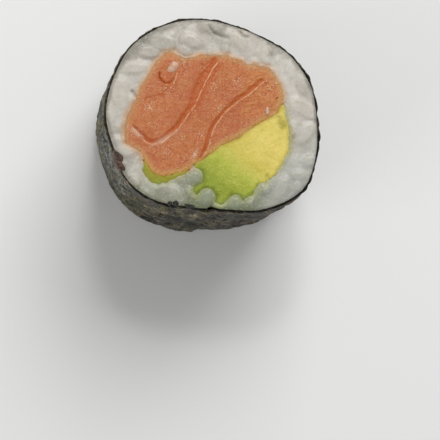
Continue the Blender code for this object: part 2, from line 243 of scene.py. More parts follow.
def setValues(piece, **values):
    # one number for each vertex, which the finish reads by name
    for name, numbers in values.items():
        layer = piece.data.attributes.new(name, "FLOAT", "POINT")
        layer.data.foreach_set("value", np.asarray(numbers, np.float32))


def cutFace(outline, spacing):
    # points and triangles that fill an outline: its own points first, then an even spread
    low, high = outline.min(0), outline.max(0)
    spread = []
    for k, y in enumerate(np.arange(low[1], high[1], spacing * 0.87)):
        across = np.arange(low[0] + (k % 2) * spacing / 2, high[0], spacing)
        spread.append(np.column_stack([across, np.full(len(across), y)]))
    spread = np.vstack(spread)
    spread = spread[edgeDistance(spread, outline)[0] < -spacing * 0.6]
    count = len(outline)
    edges = [(i, (i + 1) % count) for i in range(count)]
    points = [Vector(p) for p in np.vstack([outline, spread])]
    flat, _, faces, _, _, _ = delaunay_2d_cdt(points, edges, [], 1, 1e-6)
    return np.array([p[:] for p in flat]), [list(f) for f in faces]


def fillingSolid(outlines, heights, spacing, upper, lower):
    # a piece of filling: fine cut faces on its two ends and a plain wall between
    topFlat, topFaces = cutFace(outlines[-1], spacing)
    lowFlat, lowFaces = cutFace(outlines[0], spacing)
    count = len(outlines[0])
    points = [np.column_stack([topFlat, upper(topFlat)]), np.column_stack([lowFlat, lower(lowFlat)])]
    base = len(topFlat)
    faces = topFaces + [[base + i for i in reversed(f)] for f in lowFaces]
    rings = [np.arange(base, base + count)]
    start = base + len(lowFlat)
    for outline, height in zip(outlines[1:-1], heights[1:-1]):
        points.append(np.column_stack([outline, np.full(count, height)]))
        rings.append(np.arange(start, start + count))
        start += count
    rings.append(np.arange(count))
    for under, over in zip(rings, rings[1:]):
        faces += np.column_stack([under, np.roll(under, -1), np.roll(over, -1), over]).tolist()
    return np.vstack(points), faces, base + len(lowFlat)


class Value:
    # one socket of a finish, so that shader maths reads as plain arithmetic
    def __init__(self, finish, socket):
        self.finish = finish
        self.socket = socket

    def maths(self, operation, first, second):
        return self.finish.add("ShaderNodeMath", {"operation": operation}, {0: first, 1: second})

    def __add__(self, other):
        return self.maths("ADD", self, other)

    def __radd__(self, other):
        return self.maths("ADD", other, self)

    def __sub__(self, other):
        return self.maths("SUBTRACT", self, other)

    def __rsub__(self, other):
        return self.maths("SUBTRACT", other, self)

    def __mul__(self, other):
        return self.maths("MULTIPLY", self, other)

    def __rmul__(self, other):
        return self.maths("MULTIPLY", other, self)


class Finish:
    # a Principled material, with fixed numbers on its own sockets and nodes for what varies
    def __init__(self, name, colours=None, **fixed):
        self.colours = colours
        self.material = bpy.data.materials.new(name)
        self.material.use_nodes = True
        self.tree = self.material.node_tree
        self.shader = self.tree.nodes["Principled BSDF"]
        for socket, number in fixed.items():
            self.shader.inputs[socket.replace("_", " ")].default_value = number
        place = self.add("ShaderNodeTexCoord", output="Object")
        self.place = self.add("ShaderNodeVectorMath", {"operation": "SCALE"},
                              {"Vector": place, "Scale": 1 / mm})

    def add(self, kind, settings=None, values=None, output=0):
        node = self.tree.nodes.new(kind)
        for name, setting in (settings or {}).items():
            if name == "stops":
                self.setStops(node.color_ramp, setting)
            else:
                setattr(node, name, setting)
        for socket, number in (values or {}).items():
            self.plug(node.inputs[socket], number)
        return Value(self, node.outputs[output])

    def plug(self, socket, number):
        if isinstance(number, Value):
            self.tree.links.new(number.socket, socket)
        else:
            socket.default_value = number

    def setStops(self, ramp, stops):
        while len(ramp.elements) < len(stops):
            ramp.elements.new(1.0)
        for element, (place, colour) in zip(ramp.elements, stops):
            element.position = place
            element.color = (*colour, 1)

    def feed(self, **sockets):
        for socket, value in sockets.items():
            self.plug(self.shader.inputs[socket.replace("_", " ")], value)

    def layer(self, name):
        return self.add("ShaderNodeAttribute", {"attribute_name": name}, output="Fac")

    def cloud(self, size, detail=2.0, rough=0.5, place=None, warp=0.0):
        # noise about 0.5, with patches about size millimetres across
        return self.add("ShaderNodeTexNoise", {"noise_dimensions": "3D"},
                        {"Vector": place or self.place, "Scale": 1 / size, "Detail": detail,
                         "Roughness": rough, "Distortion": warp})

    def lines(self, size, width, warp=0.6):
        # thin wandering lines, the way fibres and cracks run
        off = self.cloud(size, 2, 0.5, warp=warp) - 0.5
        off = self.add("ShaderNodeMath", {"operation": "ABSOLUTE"}, {0: off})
        return self.rise(off, width, 0.0)

    def cells(self, size):
        return self.add("ShaderNodeTexVoronoi", None, {"Vector": self.place, "Scale": 1 / size})

    def rise(self, value, low, high):
        # 0 at low and 1 at high, smoothly; low may be the greater
        return self.add("ShaderNodeMapRange", {"interpolation_type": "SMOOTHSTEP"},
                        {"Value": value, "From Min": low, "From Max": high})

    def blend(self, factor, first, second, mode="MIX"):
        first, second = ((*c, 1) if isinstance(c, tuple) else c for c in (first, second))
        return self.add("ShaderNodeMix", {"data_type": "RGBA", "blend_type": mode},
                        {0: factor, 6: first, 7: second}, output=2)

    def paint(self, amount, colour, mode="MIX"):
        # one of the named colours, or a mix of them, laid over what is there
        colour = self.colours[colour] if isinstance(colour, str) else colour
        self.colour = self.blend(amount, self.colour, colour, mode)

    def bump(self, height, distance, strength=1.0, over=None):
        values = {"Height": height, "Distance": distance * mm, "Strength": strength}
        if over:
            values["Normal"] = over
        return self.add("ShaderNodeBump", None, values)


riceLook = {
    "white": (0.60, 0.558, 0.488),
    "pale": (0.70, 0.665, 0.60),
    "grey": (0.49, 0.458, 0.395),
    "deep": (0.36, 0.33, 0.27),           # painted shade between the grains
    # painted shade in the open cracks and around the clear grains
    "crease": (0.24, 0.21, 0.165),
    "rimShade": (0.17, 0.16, 0.13),       # painted shade at the rim, standing in for the dark wrap seen through the last thin rice
    "green": (0.40, 0.42, 0.17),          # avocado smeared on the grains beside it
    "juice": (0.175, 0.21, 0.10),         # painted shade, grey-green, towards the lower edge of the cut
    # painted shade, greyer, over the lower right of the cut
    "cool": (0.43, 0.45, 0.40),
    "clear": (0.29, 0.335, 0.215),        # round grains that are nearly see-through
    "yellow": (0.43, 0.39, 0.11),
    "pink": (0.64, 0.355, 0.165),         # salmon oil soaked into the grains beside it
    "riceGlint": (0.86, 0.84, 0.78),          # painted highlights, small bright specks on the grains
}


def riceFinish():
    look = Finish("cookedRice", riceLook, Subsurface_Weight=0.7, Subsurface_Scale=1.0 * mm,
                  Coat_Weight=0.15, Coat_Roughness=0.22)
    look.shader.inputs["Subsurface Radius"].default_value = (1.0, 0.85, 0.65)
    rim, sunk = look.layer("rim"), look.layer("sunk")
    # each grain's own tone, with painted light on the right of the cut and painted shade on its left
    tone = look.layer("tone") + (look.cloud(1.6, 3, 0.55) - 0.5) * 1.3
    look.colour = look.blend(look.rise(tone, 0.1, 0.7), riceLook["grey"], riceLook["white"])
    look.paint(look.rise(tone, 0.62, 1.1) * 0.8, "pale")
    # painted shade where the surface sinks between the grains
    look.paint(look.rise(sunk, 0.3, 1.3) * 0.6, "deep")
    uneven = look.cloud(1.9, 3, 0.6)
    # painted shade along the rim, wider where the rice is thin
    wide = look.layer("wet")
    shade = look.rise(rim + (uneven - 0.5) * (0.6 + 1.4 * wide), 0.45 + 1.1 * wide, 0.0)
    look.paint(shade * 0.75, "rimShade")
    # painted shade in the open cracks and around the clear grains
    look.paint(look.layer("crease") * 0.6, "crease")
    # painted shade, greyer, over the lower right of the cut
    look.paint(look.layer("cool") * 0.7, "cool")
    # painted shade, grey-green, towards the lower edge of the cut
    lowerShadeMask = look.layer("juice") * (0.5 + 0.7 * look.cloud(2.2, 2))
    look.paint(lowerShadeMask, "juice")
    look.paint(look.layer("clear") * 0.8, "clear")
    smeared = look.blend(look.rise(look.layer("ripe"), 0.45, 0.95), riceLook["green"],
                         riceLook["yellow"])
    toAvocado = look.rise(look.layer("toAvocado") + (uneven - 0.5) * 1.6, 1.0, -0.2)
    look.paint(toAvocado * 0.8, smeared)
    toSalmon = look.rise(look.layer("toSalmon") + (uneven - 0.5) * 0.9, 0.9, -0.25)
    look.paint(toSalmon * 0.95, "pink")
    grain = look.cloud(0.35, 3, 0.7)
    # painted highlights: small bright specks, fewer where the lower edge is painted with shade
    riceGlints = look.rise(look.cloud(0.24, 2, 0.6), 0.66, 0.74)
    look.paint(look.rise(grain, 0.52, 0.68) * 0.45, "pale")
    look.paint(look.rise(grain, 0.47, 0.33) * 0.40, "grey")
    look.paint(riceGlints * (0.6 - 0.4 * look.layer("juice")), "riceGlint")
    look.feed(Base_Color=look.colour, Roughness=0.32 + 0.25 * look.cloud(0.8, 2),
              Normal=look.bump(grain, 0.07, 0.8, look.bump(look.cloud(1.0, 3), 0.16, 0.7)))
    return look


salmon = {
    "belowRice": 0.25,
    "around": 420, "spacing": 0.15, "wallLevels": 9,
    "edgeRound": 0.2, "edgeDrop": 0.05,
    "outlineRough": 0.16,
    "stains": [                           # darker flesh: middle, size, amount
        (-6.35, 5.25, 0.62, 0.55), (-1.9, 5.4, 0.9, 0.35), (-2.1, 3.6, 0.7, 0.25)],
    "wetSpots": [                         # where the cut is wettest: middle and size
        (-6.2, 3.6, 0.9), (-10.7, -2.3, 0.8), (-2.5, -5.6, 0.6), (1.2, 0.8, 0.7),
        (-6.4, -5.1, 0.8), (8.2, 4.0, 0.8), (-3.9, 6.9, 0.8), (3.6, 4.5, 0.8),
        (0.2, 3.9, 0.7), (-1.8, -2.9, 0.7), (-4.2, -3.0, 0.6), (-9.0, 1.0, 0.9)],
    "fatPatches": [                       # where flesh turns pale and soft: middle, long, wide, turn
        (-6.8, -3.5, 1.9, 0.35, 30), (-10.5, -2.7, 1.1, 0.4, -38), (-2.4, -5.6, 0.7, 0.2, 60)],
    "intoRice": 0.12,                     # how far the flesh presses out past its CAD wall
    "twist": math.radians(-9), "taper": 0.95,
    "overSliver": 0.15,                   # how far the flesh laps over the thin avocado strip
    "fibresAcross": (3.0, 5.5), "fibresUp": (-1.2, 0.2),    # its fibres begin to show over these
    "goldenFrom": (8.2, 9.2),             # and its edge turns golden over these, towards the right
}

# Each seam is a line on the cut face, with its furrow on the right as it runs.
seams = [
    {"line": [(1.5, 7.9), (0.2, 6.6), (-0.9, 4.6), (-1.5, 3.4), (-2.5, 1.2), (-3.4, -0.1),
              (-4.2, -1.3), (-5.2, -2.4), (-6.2, -3.3), (-7.2, -4.0), (-8.1, -4.2),
              (-9.1, -4.0), (-9.9, -3.2), (-10.8, -2.2), (-11.6, -1.2)],
     "furrow": [1.1, 1.6, 1.4, 1.0, 0.8, 0.9, 0.9, 0.25], "depth": 0.24, "crest": 0.09,
     "pale": 1.0, "behind": 1.0, "stain": 1.0},
    {"line": [(7.7, 5.2), (7.4, 4.8), (6.4, 3.9), (5.4, 3.0), (4.5, 2.4), (3.5, 1.7),
              (2.5, 0.9), (1.4, -0.2), (0.9, -0.9), (0.2, -2.0), (-0.2, -3.2), (-0.4, -4.1),
              (-0.8, -5.1), (-1.4, -6.1), (-2.2, -7.0)],
     "furrow": [0.5, 0.9, 0.8, 0.6, 0.6, 0.8, 0.7, 0.5], "depth": 0.26, "crest": 0.10,
     "pale": 1.0, "behind": 0.3},
    {"line": [(-4.9, 6.0), (-5.15, 5.0), (-5.5, 4.2), (-6.0, 3.5)],
     "furrow": [0.3, 0.35, 0.3], "depth": 0.12, "crest": 0.10, "pale": 0.85},
    {"line": [(-5.5, 3.9), (-6.4, 3.1), (-7.5, 2.5), (-8.7, 2.2), (-9.6, 1.6)],
     "furrow": [0.3, 0.35, 0.3, 0.25], "depth": 0.15, "crest": 0.0, "pale": 0.0},
    {"line": [(0.0, 7.5), (-0.7, 6.9), (-1.3, 6.2), (-1.6, 5.6)],
     "furrow": [0.1, 0.1], "depth": 0.0, "crest": 0.05, "pale": 0.75},
    {"line": [(-5.2, 5.2), (-5.7, 4.3), (-6.4, 4.1), (-7.1, 4.5), (-7.5, 5.1), (-7.5, 6.1)],
     "furrow": [0.3, 0.5, 0.5, 0.3], "depth": 0.30, "crest": 0.05, "pale": 0.15},
]

salmonLook = {
    "flesh": (0.57, 0.142, 0.032),
    "warm": (0.59, 0.167, 0.032),
    "light": (0.71, 0.315, 0.115),
    "deep": (0.45, 0.088, 0.015),
    "furrow": (0.57, 0.112, 0.005),
    "edge": (0.63, 0.315, 0.115),
    "fat": (0.74, 0.44, 0.30),            # the soft pale end of a seam
    "glint": (0.95, 0.78, 0.55),
    "line": (0.84, 0.52, 0.32),
    "golden": (0.62, 0.31, 0.045),        # where avocado has rubbed off on the edge
    "orange": (0.70, 0.265, 0.052),
}


def salmonFinish():
    look = Finish("rawSalmon", salmonLook, Subsurface_Weight=0.25, Subsurface_Scale=0.6 * mm,
                  Specular_IOR_Level=0.65)
    look.shader.inputs["Subsurface Radius"].default_value = (1.0, 0.45, 0.25)
    groove, line, edge = look.layer("groove"), look.layer("seamLine"), look.layer("edge")
    fibre = look.layer("fibre")
    patches = look.rise(look.cloud(3.4, 3, 0.55), 0.36, 0.64)
    look.colour = look.blend(patches, salmonLook["flesh"], salmonLook["warm"])
    haze = look.rise(look.cloud(1.2, 4, 0.65), 0.46, 0.72)
    look.paint(haze * 0.30, "light")
    look.paint(fibre * 0.8, "orange")
    grit = look.cloud(0.24, 3, 0.8)
    oily = look.rise(look.cells(0.34), 0.32, 0.12)      # beads of fat, a third of a millimetre apart
    speckled = look.cloud(0.7, 3, 0.65, warp=0.5)
    look.paint(look.rise(speckled, 0.52, 0.68) * 0.35, "light")
    look.paint(look.rise(speckled, 0.47, 0.32) * 0.40, "deep")
    look.paint(look.rise(grit, 0.51, 0.64) * 0.45, "light")
    look.paint(look.rise(grit, 0.48, 0.35) * 0.45, "deep")
    look.paint(oily * look.rise(look.cloud(1.6, 2), 0.42, 0.6) * 0.45, "light")
    ragged = (look.cloud(0.8, 3, 0.6) - 0.5) * 0.9
    look.paint(look.rise(edge + ragged, 1.2, 0.0) * 0.85, "edge")
    beside = look.rise(look.layer("beside") + ragged, 0.7, 0.05)
    look.paint(beside * 0.7, "golden")
    look.paint(groove * (0.65 + 0.5 * look.cloud(0.8, 2)), "furrow")
    look.paint(look.layer("fat") * (0.3 + 0.9 * grit), "fat")
    broken = 0.30 + 0.95 * look.rise(look.cloud(0.6, 3, 0.7), 0.36, 0.56)
    look.paint(look.rise(line * broken, 0.22, 0.80) * 0.85, "line")
    glints = look.rise(look.cloud(0.19, 2, 0.7), 0.65 - 0.15 * look.layer("wet"), 0.71)
    look.paint(glints * 0.85, "glint")
    fine = look.bump(grit + 0.6 * oily, 0.13, 1.0, look.bump(look.cloud(0.8, 3, 0.6), 0.16, 0.7))
    glossy = 0.33 - 0.20 * look.layer("wet")
    look.feed(Base_Color=look.colour, Roughness=glossy + 0.2 * (look.cloud(0.5, 2) - 0.5), Normal=fine)
    return look


def unturned(flat):
    # lower-end points brought back under the upper end, as the filling turns and narrows
    turn = -salmon["twist"]
    x, y = flat.T / salmon["taper"]
    return np.column_stack([x * math.cos(turn) - y * math.sin(turn),
                            x * math.sin(turn) + y * math.cos(turn)])


def seamRelief(flat):
    # how high the flesh stands beside its seams, and where the furrows and pale lines are
    height, groove, pale = np.zeros(len(flat)), np.zeros(len(flat)), np.zeros(len(flat))
    for seam in seams:
        curve = evenly(curved(seam["line"]), 60)
        near = np.flatnonzero(((flat > curve.min(0) - 3) & (flat < curve.max(0) + 3)).all(1))
        away, share = besideCurve(flat[near], curve)
        wander = roughness(flat[near], 0.9, 3.1)
        away = away + 0.07 * wander
        width = np.interp(share, np.linspace(0, 1, len(seam["furrow"])), seam["furrow"])
        ends = step(share, 0.0, 0.06) * step(share, 1.0, 0.94)
        steep = step(away, 0.0, 0.16)
        furrow = steep * (1 - step(away, width * 0.35, width)) * ends
        stain = steep * (1 - step(away, width * 0.75 - 0.1, width * 0.85 + 0.1)) * ends
        behind = step(-away, 0.05, 0.2) * (1 - step(-away, 0.5, 1.0)) * (1 - step(share, 0.3, 0.6))
        stain = np.maximum(stain, behind * ends * seam.get("behind", 0.0))
        crest = np.where(away > 0, bell(away, 0.08), bell(away, 0.45)) * ends
        height[near] += -seam["depth"] * furrow + seam["crest"] * crest
        stain *= min(1, seam["depth"] * 4.2) * seam.get("stain", 0.75)
        groove[near] = np.maximum(groove[near], stain)
        lines = bell(away + 0.02, 0.085) * ends * seam["pale"] * (0.85 + 0.35 * wander)
        pale[near] = np.maximum(pale[near], lines)
    return height, groove, pale


def salmonCut(flat, outline, *besides):
    # height above the filling's nominal cut, and what its finish needs at each point
    edge = -edgeDistance(flat, outline)[0]
    relief, groove, pale = seamRelief(flat)
    lift = swelling(flat) - rounded(edge, salmon)
    inner = step(edge, 0.0, 0.4)
    rough = 0.045 * roughness(flat, 0.55, 7.7) + 0.07 * roughness(flat, 1.7, 2.2)
    streaks = roughness(np.column_stack([flat[:, 0] * 0.22 + flat[:, 1] * 0.1,
                                         flat[:, 1] * 1.6 - flat[:, 0] * 0.45]), 0.6, 5.0)
    right = step(flat[:, 0], *salmon["fibresAcross"]) * step(flat[:, 1], *salmon["fibresUp"])
    fibre = right * (0.35 + 0.65 * step(streaks, -0.1, 0.45))
    wet = sum(spot(flat, *place) for place in salmon["wetSpots"])
    for *place, amount in salmon["stains"]:
        groove = np.maximum(groove, amount * spot(flat, *place))
    fat = np.zeros(len(flat))
    for x, y, length, width, turn in salmon["fatPatches"]:
        turn = math.radians(turn)
        u = (flat[:, 0] - x) * math.cos(turn) + (flat[:, 1] - y) * math.sin(turn)
        v = (flat[:, 1] - y) * math.cos(turn) - (flat[:, 0] - x) * math.sin(turn)
        fat = np.maximum(fat, bell(u, length) * bell(v, width))
    rough += 0.09 * wet * roughness(flat, 0.32, 1.4)
    height = lift + inner * (relief + rough + 0.09 * right * streaks)
    beside = np.min([np.abs(edgeDistance(flat, other)[0]) for other in besides], axis=0)
    beside = np.minimum(beside, edge + 2 * (1 - step(flat[:, 0], *salmon["goldenFrom"])))
    return height, {"groove": groove * inner, "seamLine": pale * inner, "edge": edge,
                    "fibre": fibre, "wet": wet, "fat": fat, "beside": beside}


clearOfEnds = (0.8, 1.6)    # sections stay this far inside a filling's lower and upper ends


def levelsOf(node, strip):
    # outlines of a filling from its lower end to its upper end
    low, high = (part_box(node)[k].z / mm for k in (0, 1))
    heights = np.linspace(low, high, strip["wallLevels"])
    cuts = np.clip(heights, low + clearOfEnds[0], high - clearOfEnds[1])
    return [sectionCurve(node, cut, strip["around"], strip["intoRice"]) for cut in cuts], heights


def makeFilling(name, node, finish, strip, heights, edges, cut, least):
    # a filling from cut to cut: edges are its own outlines and those of what lies beside it
    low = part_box(node)[0].z / mm
    values = {}

    def upper(flat):
        height, values["upper"] = cut(flat, *(outlines[-1] for outlines in edges))
        return rollTop - strip["belowRice"] + height

    def lower(flat):
        height, values["lower"] = cut(unturned(flat), *(unturned(outlines[0]) for outlines in edges))
        return low + np.maximum(0.0, swell["height"] - height)

    points, faces, capped = fillingSolid(edges[0], heights, strip["spacing"], upper, lower)
    piece = addPiece(name, points, faces, finish, node)
    for key in values["upper"]:
        whole = np.zeros(len(points))
        whole[:capped] = np.concatenate([values["upper"][key], values["lower"][key]])
        setValues(piece, **{key: np.maximum(whole, least[key]) if key in least else whole})


def makeSalmon(finish, avocadoEnds, sliverEnds):
    outlines, heights = levelsOf("salmon", salmon)
    for k, outline in enumerate(outlines):
        bumps = roughness(outlines[-1], 1.3, 1.0) + 0.8 * roughness(outlines[-1], 0.55, 4.0)
        sliver = edgeDistance(outline, sliverEnds[k])[0]
        bumps = bumps * salmon["outlineRough"] + salmon["overSliver"] * (1 - step(sliver, 0.3, 1.0))
        outlines[k] = grown(outline, bumps)
    makeFilling("salmon_strip", "salmon", finish, salmon, heights,
                (outlines, avocadoEnds, sliverEnds), salmonCut, {})
    return outlines


avocado = {
    "belowRice": 0.34,
    "around": 330, "spacing": 0.17, "wallLevels": 9,
    "edgeRound": 0.2, "edgeDrop": 0.04,
    "outlineRough": 0.20, "outlineFray": 0.13,
    "intoRice": 0.32, "stain": 0.0,
    "bruises": [                          # middle, size, amount
        (10.0, -1.3, 0.9, 1.0), (9.3, -0.2, 0.7, 0.6), (11.0, -4.2, 0.6, 0.6),
        (7.7, -8.5, 0.5, 0.9), (6.4, -12.0, 0.5, 0.5)],
}
thinStrip = {**avocado, "around": 130, "intoRice": 0.15, "stain": 0.8}      # browned all over

avocadoLook = {
    "yellow": (0.72, 0.60, 0.11),
    "butter": (0.84, 0.68, 0.165),
    "lime": (0.49, 0.54, 0.068),
    "green": (0.275, 0.355, 0.020),
    "rim": (0.165, 0.22, 0.010),
    "olive": (0.34, 0.285, 0.014),
    "bruise": (0.24, 0.17, 0.02),
    "amber": (0.55, 0.36, 0.045),         # where salmon oil has run onto it
}


def avocadoFinish():
    look = Finish("ripeAvocado", avocadoLook, Subsurface_Weight=0.25, Subsurface_Scale=0.6 * mm,
                  Specular_IOR_Level=0.35, Coat_Weight=0.05, Coat_Roughness=0.25)
    look.shader.inputs["Subsurface Radius"].default_value = (0.9, 0.8, 0.25)
    ripeLayer = look.layer("ripe")
    ripe = ripeLayer + (look.cloud(2.6, 4, 0.65, warp=0.5) - 0.5) * 0.55
    look.colour = look.add("ShaderNodeValToRGB", {"stops": [
        (0.0, avocadoLook["green"]), (0.32, avocadoLook["lime"]),
        (0.62, avocadoLook["yellow"]), (0.92, avocadoLook["butter"])]}, {"Fac": ripe})
    grit = look.cloud(0.26, 3, 0.75)
    look.paint(look.rise(grit, 0.50, 0.64) * 0.42, "butter")
    look.paint(look.rise(grit, 0.48, 0.36) * 0.42, "lime")
    wander = (look.cloud(0.9, 3, 0.6) - 0.5) * 1.1
    toFlesh = look.layer("toFlesh")
    rim = look.rise(look.layer("edge") + wander, 0.8, 0.0) * look.rise(toFlesh, 0.3, 1.0)
    look.paint(rim * look.rise(ripeLayer, 0.62, 0.25) * 0.8, "rim")
    look.paint(rim * look.rise(ripeLayer, 0.5, 0.9) * 0.35, "olive")
    bruised = look.layer("bruise") * (0.3 + 1.1 * look.cloud(0.8, 3, 0.6))
    look.paint(look.rise(bruised, 0.25, 0.9) * 0.8, "olive")
    nearRim = look.rise(look.layer("edge"), 1.6, 0.6)
    spots = look.rise(look.cloud(1.1, 3, 0.6), 0.66, 0.72) * nearRim
    look.paint(spots * 0.7, "bruise")
    look.paint(look.rise(toFlesh + wander * 0.6, 0.75, 0.0) * 0.75, "amber")
    soft = look.bump(grit, 0.07, 0.8, look.bump(look.cloud(1.0, 4, 0.65), 0.22, 0.8))
    look.feed(Base_Color=look.colour, Roughness=0.30 + 0.26 * look.cloud(0.7, 2), Normal=soft)
    return look


def ripeness(flat):
    # 0 at the green side under the skin and 1 where the flesh is yellow
    return np.clip(((flat[:, 0] - 1.0) * 0.075 + (flat[:, 1] + 7.5) * 0.085) + 0.20, 0, 1)


def avocadoCut(flat, outline, flesh):
    edge = -edgeDistance(flat, outline)[0]
    smear = roughness(np.column_stack([flat[:, 0] * 0.5 + flat[:, 1] * 0.9,
                                       flat[:, 0] * 0.9 - flat[:, 1] * 0.3]), 1.6, 4.0)
    rough = 0.09 * roughness(flat, 1.9, 8.0) + 0.05 * smear + 0.025 * roughness(flat, 0.5, 1.5)
    height = swelling(flat) - rounded(edge, avocado) + step(edge, 0, 0.4) * rough
    bruise = sum(spot(flat, *place) * amount for *place, amount in avocado["bruises"])
    return height, {"edge": edge, "ripe": ripeness(flat), "bruise": np.clip(bruise, 0, 1),
                    "toFlesh": edgeDistance(flat, flesh)[0]}


def makeAvocado(name, node, finish, strip):
    outlines, heights = levelsOf(node, strip)
    for k, outline in enumerate(outlines):
        bumps = (roughness(outlines[-1], 0.9, 6.0) * strip["outlineRough"]
                 + roughness(outlines[-1], 0.4, 2.0) * strip["outlineFray"])
        outlines[k] = grown(outline, bumps)
    for x, y, radius in rice["clearGrains"]:             # whole grains press into its upper end
        away = outlines[-1] - (x, y)
        reach = np.hypot(*away.T)[:, None]
        outlines[-1] = np.where(reach < radius, (x, y) + away / reach * radius, outlines[-1])
    low, high = (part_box("salmon")[k].z / mm for k in (0, 1))
    flesh = [sectionCurve("salmon", height, 300)
             for height in (low + clearOfEnds[0], high - clearOfEnds[1])]
    makeFilling(name, node, finish, strip, heights, (outlines, flesh), avocadoCut,
                {"bruise": strip["stain"]})
    return outlines


rice = {
    "grainLength": 5.6, "grainWidth": 2.55, "grainBend": 0.10,
    "beds": [                             # one laid after another, each filling in the last
        {"below": 0.0, "apart": 0.84, "clear": 0.84, "tries": 9000},
        {"below": 0.38, "apart": 0.74, "clear": 0.62, "tries": 6000},
        {"below": 0.85, "apart": 0.74, "clear": 0.50, "tries": 5000}],
    "endOn": 0.12,                        # the share of grains that stand on end
    "seeds": {"upper": 21, "lower": 34},
    "edgeLevel": 2.0,                     # the wrap's inside is measured this far in from each end
    "pasteBelow": 0.30,                   # the paste between the grains lies this far down
    "pasteUneven": 0.30, "pasteSpacing": 0.4, "pasteGrow": 0.4,
    "underFilling": (0.7, 0.7, 0.25),
    "capDepth": 3.0, "coreInset": 2.6, "coreSpacing": 2.0, "coreAround": 160,
    "unevenTop": (-0.12, 0.26), "knifeSoft": 0.15,
    "edgeRound": 0.4, "edgeDrop": 0.15,
    # where the painted shade towards the lower edge lies, and where it is strongest
    "lowerShadeUp": (-7.0, -11.0), "lowerShadeAcross": (10.0, 4.0), "lowerShadeMost": (-6.0, 0.0),
    # where the greyer painted shade over the lower right lies
    "lowerRightShadeUp": (-4.0, -12.0), "lowerRightShadeAcross": (-1.0, 4.0),
    # painted light over the right of the cut and painted shade over its left
    "litRightUp": (-6, -2), "litRightAcross": (6, 9), "shadedLeft": (9, 12),
    "voxel": 0.17, "settle": 16,
    "widerRimShade": [                          # where the painted rim shade widens, as thin rice lets the wrap show: bearing, wide, amount
        (132, 26, 1.0), (38, 22, 0.4), (-160, 25, 0.5)],
    "creases": [                          # open cracks between grains on the upper cut, sunk and with painted shade in them
        [(-0.6, 12.9), (0.4, 11.5), (1.4, 11.1), (2.4, 10.7), (2.2, 10.0)],
        [(3.6, 12.0), (4.4, 11.2), (5.4, 10.9)], [(-11.4, 3.6), (-10.8, 2.8), (-10.4, 2.0)],
        [(9.2, -8.0), (8.3, -8.5), (7.6, -9.2)]],
    "creaseWidth": 0.22, "creaseDepth": 0.30,
    "betweenFillings": 0.4, "under": 0.35, "ragged": 0.22,
    "around": 420,
    "insideNori": 0.34,                   # how far the rice stays inside the wrap's outer skin
    "lapStep": 0.018,                     # the share it draws in by at the step where the sheet ends
    "clearGrains": [                      # round ones, nearly see-through: middle and radius
        (-2.5, -8.75, 1.2), (-0.8, -11.6, 1.25), (3.2, -12.3, 1.05)],
    "clearDome": 0.17, "clearTone": 0.35,
}


def grainShape(rings=12, sides=14):
    # a cooked grain one unit long, a little bent, blunter at one end
    points = [(-0.5, 0, 0)]
    for k in range(1, rings):
        t = math.pi * k / rings
        x = -0.5 * math.cos(t)
        radius = 0.5 * math.sin(t) ** 0.72 * (1 + 0.10 * x)
        points += [(x, radius * math.cos(a), radius * math.sin(a))
                   for a in (math.tau * i / sides for i in range(sides))]
    points.append((0.5, 0, 0))
    faces = [[0, 1 + (i + 1) % sides, 1 + i] for i in range(sides)]
    for k in range(rings - 2):
        a, b = 1 + k * sides, 1 + (k + 1) * sides
        faces += [[a + i, a + (i + 1) % sides, b + (i + 1) % sides, b + i] for i in range(sides)]
    last = len(points) - 1
    faces += [[last - sides + i, last - sides + (i + 1) % sides, last] for i in range(sides)]
    return np.array(points), faces


def placedGrain(shape, place, length, width, yaw, tilt, flatness=0.92):
    points = shape * (length, width, width * flatness)
    points[:, 2] += rice["grainBend"] * width * (1 - (2 * shape[:, 0]) ** 2)
    turn = Matrix.Rotation(yaw, 3, "Z") @ Matrix.Rotation(tilt, 3, "Y")
    return points @ np.array(turn).T + place


def roomIn(outer, fillings):
    # a lookup of how far any spot of one end is from the nearest edge of its rice
    cell = 0.2
    reach = np.abs(outer).max() + 1
    ticks = np.arange(-reach, reach, cell)
    grid = np.stack(np.meshgrid(ticks, ticks, indexing="ij"), axis=2).reshape(-1, 2)
    free = -edgeDistance(grid, outer[::3])[0]
    for filling in fillings:
        free = np.minimum(free, edgeDistance(grid, filling[::3])[0])
    free = free.reshape(len(ticks), len(ticks))

    def room(points):
        index = np.clip(np.rint((points + reach) / cell).astype(int), 0, len(ticks) - 1)
        return free[index[..., 0], index[..., 1]]

    return room, reach


